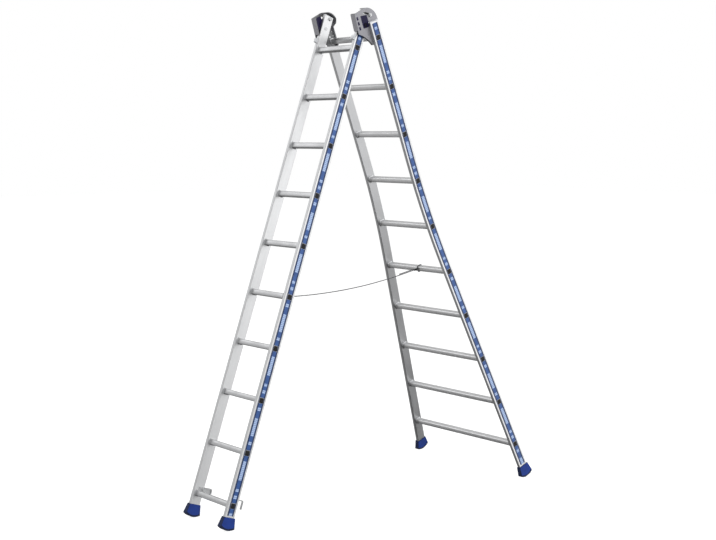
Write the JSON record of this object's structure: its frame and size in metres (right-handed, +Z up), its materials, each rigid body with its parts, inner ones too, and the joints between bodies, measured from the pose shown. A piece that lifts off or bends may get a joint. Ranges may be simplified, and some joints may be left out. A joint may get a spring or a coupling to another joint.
{
  "type": "combination ladder",
  "caption": "Aluminium combination ladder standing as a stepladder: a straight front section hinged to a rear section with a flared base, rubber feet and a spreader rope.",
  "frame": {"origin": "on the floor, under the middle of the standing ladder's box", "axes": "+Z up, +X along the rungs to the right seen from the front, +Y from the front section to the rear one"},
  "size_m": [0.8336, 1.8404, 2.4219],
  "materials": {
    "stile_aluminium": "satin extrusion",
    "rung_aluminium": "satin extrusion",
    "label_film": "satin film",
    "foot_rubber": "matt moulded",
    "hinge_steel": "zinc plated",
    "guide_plastic": "moulded",
    "fastener_steel": "zinc plated",
    "bush_plastic": "moulded",
    "hook_steel": "zinc plated",
    "black_plastic": "moulded",
    "rope_fibre": "braided",
    "ferrule_plastic": "moulded"
  },
  "bodies": {
    "rear_section": {"rear_stile_left": "stile_aluminium", "rear_foot_left": "foot_rubber", "rear_label_left": "label_film", "hinge_plate_left": "hinge_steel", "guide_block_left": "guide_plastic", "pivot_pin_left": "fastener_steel", "rear_stile_right": "stile_aluminium", "rear_foot_right": "foot_rubber", "rear_label_right": "label_film", "hinge_plate_right": "hinge_steel", "guide_block_right": "guide_plastic", "pivot_pin_right": "fastener_steel", "rear_rung_1": "rung_aluminium", "rear_rung_2": "rung_aluminium", "rear_rung_3": "rung_aluminium", "rear_rung_4": "rung_aluminium", "rear_rung_5": "rung_aluminium", "rear_rung_6": "rung_aluminium", "rear_rung_7": "rung_aluminium", "rear_rung_8": "rung_aluminium", "rear_rung_9": "rung_aluminium", "rear_rung_10": "rung_aluminium", "rear_rung_plugs": "black_plastic", "rear_stile_caps": "black_plastic", "plate_rivets": "fastener_steel", "spreader_rope": "rope_fibre", "rope_loop_rear": "rope_fibre", "rope_ferrule_rear": "ferrule_plastic"},
    "front_section": {"front_stile_left": "stile_aluminium", "front_foot_left": "foot_rubber", "front_label_left": "label_film", "pivot_bush_left": "bush_plastic", "stop_stud_left": "fastener_steel", "rung_hook_left": "hook_steel", "stop_cleat_left": "black_plastic", "front_stile_right": "stile_aluminium", "front_foot_right": "foot_rubber", "front_label_right": "label_film", "pivot_bush_right": "bush_plastic", "stop_stud_right": "fastener_steel", "rung_hook_right": "hook_steel", "stop_cleat_right": "black_plastic", "front_rung_1": "rung_aluminium", "front_rung_2": "rung_aluminium", "front_rung_3": "rung_aluminium", "front_rung_4": "rung_aluminium", "front_rung_5": "rung_aluminium", "front_rung_6": "rung_aluminium", "front_rung_7": "rung_aluminium", "front_rung_8": "rung_aluminium", "front_rung_9": "rung_aluminium", "front_rung_10": "rung_aluminium", "front_rung_plugs": "black_plastic", "front_stile_caps": "black_plastic", "stop_nuts": "fastener_steel", "hook_rivets": "fastener_steel", "rope_loop_front": "rope_fibre", "rope_ferrule_front": "ferrule_plastic"}
  },
  "joints": [
    {"name": "fold", "type": "hinge", "parent": "rear_section", "child": "front_section", "pos_m": [0, -0.05127, 2.33899], "axis": [1, 0, 0], "range_deg": [0, 39], "deforming": ["spreader_rope"]}
  ]
}
